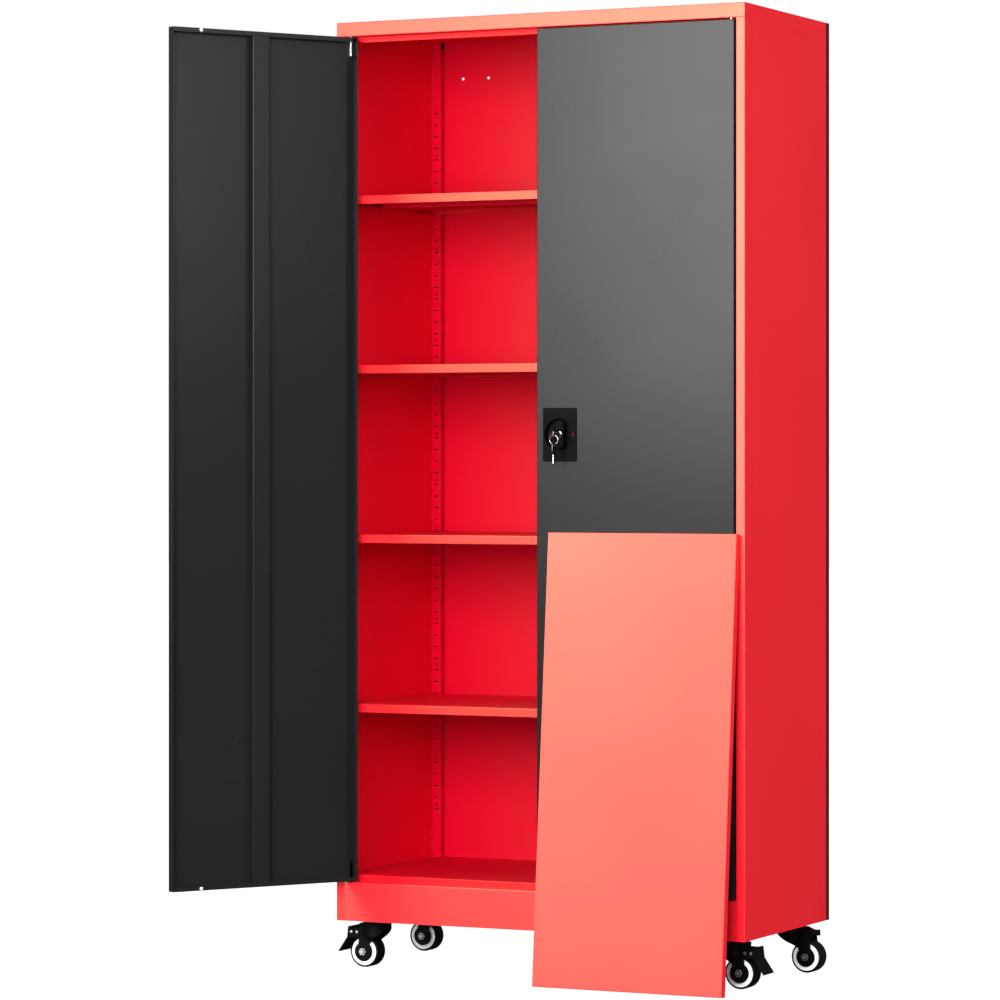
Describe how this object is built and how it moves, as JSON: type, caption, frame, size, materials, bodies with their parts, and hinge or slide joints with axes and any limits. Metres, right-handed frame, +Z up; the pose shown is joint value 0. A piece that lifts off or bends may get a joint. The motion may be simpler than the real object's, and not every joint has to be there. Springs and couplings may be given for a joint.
{
  "type": "metal garage cabinet",
  "caption": "Tall sheet-metal storage cabinet on swivel casters, with hinged doors, adjustable shelves, a rod lock with a turning grip and a spare shelf leaning on the closed door.",
  "frame": {"origin": "on the floor, at the middle of the carcass's footprint", "axes": "+Z up, +X to the cabinet's right as seen from its front, -Y towards the front"},
  "size_m": [1.113, 0.8111, 1.93],
  "materials": {
    "red_paint": "powder coat, satin",
    "grey_paint": "powder coat, satin",
    "black_plastic": "moulded, satin",
    "zinc": "bright zinc plate",
    "black_steel": "black coat, satin",
    "wheel_white": "moulded, semi-gloss",
    "tyre_rubber": "matt rubber",
    "key_black": "moulded, satin"
  },
  "bodies": {
    "carcass": {"side_panel_left": "red_paint", "side_panel_right": "red_paint", "top_panel": "red_paint", "back_panel": "red_paint", "floor_panel": "red_paint", "front_plinth": "red_paint", "rear_plinth": "red_paint", "caster_rail_left": "red_paint", "caster_rail_right": "red_paint", "upright_front_left": "red_paint", "upright_front_right": "red_paint", "upright_rear_left": "red_paint", "upright_rear_right": "red_paint", "shelf_1": "red_paint", "shelf_2": "red_paint", "shelf_3": "red_paint", "shelf_4": "red_paint", "shelf_stiffeners": "red_paint", "shelf_clips": "red_paint", "back_screws": "zinc", "caster_plates": "black_steel", "caster_bolts": "zinc"},
    "left_door": {"left_door_panel": "grey_paint", "left_door_stiffener": "grey_paint", "left_hinge_brackets": "grey_paint", "left_hinge_pins": "zinc"},
    "right_door": {"right_door_panel": "grey_paint", "right_door_stiffener": "grey_paint", "right_hinge_brackets": "grey_paint", "right_hinge_pins": "zinc", "lock_escutcheon": "black_plastic", "rod_guides": "black_plastic"},
    "handle": {"handle_grip": "black_plastic", "lock_cam": "zinc"},
    "upper_rod": {"upper_rod": "zinc"},
    "lower_rod": {"lower_rod": "zinc"},
    "cylinder": {"lock_cylinder": "zinc", "key": "key_black"},
    "ring": {"key_ring": "zinc"},
    "spare_key": {"spare_key": "key_black"},
    "spare_shelf": {"spare_shelf": "red_paint", "spare_shelf_stiffener": "red_paint"},
    "fork_front_left": {"fork_front_left": "black_steel", "axle_front_left": "zinc"},
    "wheel_front_left": {"wheel_core_front_left": "wheel_white", "tyre_front_left": "tyre_rubber"},
    "fork_front_right": {"fork_front_right": "black_steel", "axle_front_right": "zinc"},
    "wheel_front_right": {"wheel_core_front_right": "wheel_white", "tyre_front_right": "tyre_rubber"},
    "fork_rear_left": {"fork_rear_left": "black_steel", "axle_rear_left": "zinc"},
    "wheel_rear_left": {"wheel_core_rear_left": "wheel_white", "tyre_rear_left": "tyre_rubber"},
    "fork_rear_right": {"fork_rear_right": "black_steel", "axle_rear_right": "zinc"},
    "wheel_rear_right": {"wheel_core_rear_right": "wheel_white", "tyre_rear_right": "tyre_rubber"},
    "pedal_front_left": {"brake_pedal_front_left": "black_steel"},
    "pedal_front_right": {"brake_pedal_front_right": "black_steel"}
  },
  "joints": [
    {"name": "left_door_hinge", "type": "hinge", "parent": "carcass", "child": "left_door", "pos_m": [-0.41955, -0.22, 1], "axis": [0, 0, 1], "range_deg": [-1.5, 121.5]},
    {"name": "right_door_hinge", "type": "hinge", "parent": "carcass", "child": "right_door", "pos_m": [0.41955, -0.22, 1], "axis": [0, 0, 1], "range_deg": [0, 123]},
    {"name": "handle_turn", "type": "hinge", "parent": "right_door", "child": "handle", "pos_m": [0.053, -0.225, 1.08895], "axis": [0, -1, 0], "range_deg": [0, 90]},
    {"name": "upper_rod_slide", "type": "slide", "parent": "right_door", "child": "upper_rod", "axis": [0, 0, 1], "range_m": [0, 0.0226]},
    {"name": "lower_rod_slide", "type": "slide", "parent": "right_door", "child": "lower_rod", "axis": [0, 0, -1], "range_m": [0, 0.0227]},
    {"name": "key_turn", "type": "hinge", "parent": "handle", "child": "cylinder", "pos_m": [0.053, -0.225, 1.08895], "axis": [0, -1, 0], "range_deg": [0, 90]},
    {"name": "ring_swing", "type": "hinge", "parent": "cylinder", "child": "ring", "pos_m": [0.053, -0.2537, 1.08895], "axis": [1, 0, 0], "range_deg": [-75, 10]},
    {"name": "spare_key_swing", "type": "hinge", "parent": "ring", "child": "spare_key", "pos_m": [0.053, -0.2537, 1.06795], "axis": [1, 0, 0], "range_deg": [-60, 10]},
    {"name": "spare_shelf_rock", "type": "hinge", "parent": "right_door", "child": "spare_shelf", "pos_m": [0.2375, -0.3015, 0], "axis": [1, 0, 0], "range_deg": [0, 3.75]},
    {"name": "swivel_front_left", "type": "hinge", "parent": "carcass", "child": "fork_front_left", "pos_m": [-0.395, -0.152, 0.09], "axis": [0, 0, 1], "continuous": true},
    {"name": "roll_front_left", "type": "hinge", "parent": "fork_front_left", "child": "wheel_front_left", "pos_m": [-0.416, -0.152, 0.0322], "axis": [0, 1, 0], "continuous": true},
    {"name": "swivel_front_right", "type": "hinge", "parent": "carcass", "child": "fork_front_right", "pos_m": [0.395, -0.152, 0.09], "axis": [0, 0, 1], "continuous": true},
    {"name": "roll_front_right", "type": "hinge", "parent": "fork_front_right", "child": "wheel_front_right", "pos_m": [0.416, -0.152, 0.0322], "axis": [0, 1, 0], "continuous": true},
    {"name": "swivel_rear_left", "type": "hinge", "parent": "carcass", "child": "fork_rear_left", "pos_m": [-0.395, 0.152, 0.09], "axis": [0, 0, 1], "continuous": true},
    {"name": "roll_rear_left", "type": "hinge", "parent": "fork_rear_left", "child": "wheel_rear_left", "pos_m": [-0.4345, 0.152, 0.0322], "axis": [0, 1, 0], "continuous": true},
    {"name": "swivel_rear_right", "type": "hinge", "parent": "carcass", "child": "fork_rear_right", "pos_m": [0.395, 0.152, 0.09], "axis": [0, 0, 1], "continuous": true},
    {"name": "roll_rear_right", "type": "hinge", "parent": "fork_rear_right", "child": "wheel_rear_right", "pos_m": [0.4345, 0.152, 0.0322], "axis": [0, 1, 0], "continuous": true},
    {"name": "brake_front_left", "type": "hinge", "parent": "fork_front_left", "child": "pedal_front_left", "pos_m": [-0.421, -0.152, 0.0766], "axis": [0, -1, 0], "range_deg": [0, 8]},
    {"name": "brake_front_right", "type": "hinge", "parent": "fork_front_right", "child": "pedal_front_right", "pos_m": [0.421, -0.152, 0.0766], "axis": [0, 1, 0], "range_deg": [0, 8]}
  ],
  "couplings": [
    {"joint": "handle_turn", "follows": "upper_rod_slide", "rad_per_m": 69.42},
    {"joint": "lower_rod_slide", "follows": "upper_rod_slide", "ratio": 1},
    {"joint": "spare_shelf_rock", "follows": "right_door_hinge", "ratio": 0.03}
  ]
}
